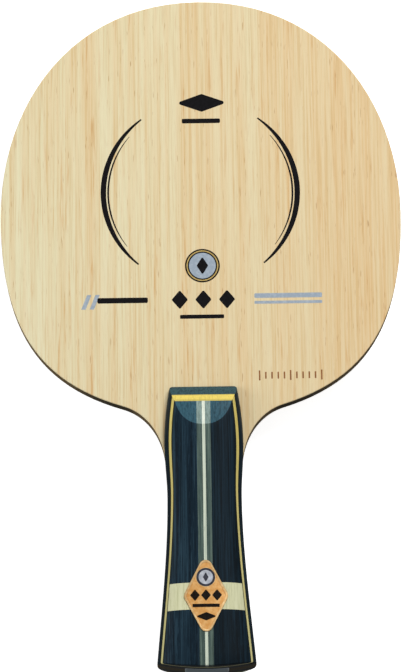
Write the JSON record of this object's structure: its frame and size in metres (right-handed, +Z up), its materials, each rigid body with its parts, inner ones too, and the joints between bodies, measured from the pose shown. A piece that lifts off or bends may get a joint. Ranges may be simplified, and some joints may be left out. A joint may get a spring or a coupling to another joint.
{
  "type": "table tennis blade",
  "caption": "Bare table tennis blade with a rounded laminated wooden head and a flared handle of striped laminated scales, with an inlaid badge near its domed butt.",
  "frame": {"origin": "on the surface that the blade lies on, under the middle of its length and width", "axes": "+Y from the butt of the handle to the tip of the head; +Z up, out of the front face, which has the badge; +X to the right seen from the front"},
  "size_m": [0.15, 0.257, 0.0241],
  "materials": {
    "face_wood": "smooth sanded bare veneer",
    "inner_wood": "bare veneer, seen only at its edge",
    "core_wood": "light bare core wood, seen only at its edge",
    "fibre": "resin-bound woven fibre, seen only at its edge",
    "blue_wood": "dyed dark blue veneer, satin",
    "gold_wood": "dyed yellow veneer, satin",
    "grey_wood": "dyed grey-green veneer, satin",
    "white_wood": "bleached veneer, satin",
    "cream_wood": "pale yellow-green veneer, satin",
    "badge_metal": "copper-coloured, satin with bright rim",
    "label_foil": "plain blue-grey foil",
    "print_ink": "thin printed marks on the face"
  },
  "bodies": {
    "root": {"front_face_veneer": "face_wood", "front_fibre_ply": "fibre", "front_inner_veneer": "inner_wood", "core_ply": "core_wood", "rear_inner_veneer": "inner_wood", "rear_fibre_ply": "fibre", "rear_face_veneer": "face_wood", "front_scale_base": "blue_wood", "front_scale_accent": "gold_wood", "front_cross_band": "cream_wood", "front_panel_lower_left": "blue_wood", "front_stripe_lower_left": "grey_wood", "front_panel_lower_right": "blue_wood", "front_stripe_lower_right": "grey_wood", "front_centre_line_lower": "white_wood", "front_panel_upper_left": "blue_wood", "front_stripe_upper_left": "grey_wood", "front_panel_upper_right": "blue_wood", "front_stripe_upper_right": "grey_wood", "front_centre_line_upper": "white_wood", "rear_scale_base": "blue_wood", "rear_scale_accent": "gold_wood", "rear_cross_band": "cream_wood", "rear_panel_lower_left": "blue_wood", "rear_stripe_lower_left": "grey_wood", "rear_panel_lower_right": "blue_wood", "rear_stripe_lower_right": "grey_wood", "rear_centre_line_lower": "white_wood", "rear_panel_upper_left": "blue_wood", "rear_stripe_upper_left": "grey_wood", "rear_panel_upper_right": "blue_wood", "rear_stripe_upper_right": "grey_wood", "rear_centre_line_upper": "white_wood", "handle_badge": "badge_metal", "butt_label": "label_foil"}
  },
  "joints": []
}
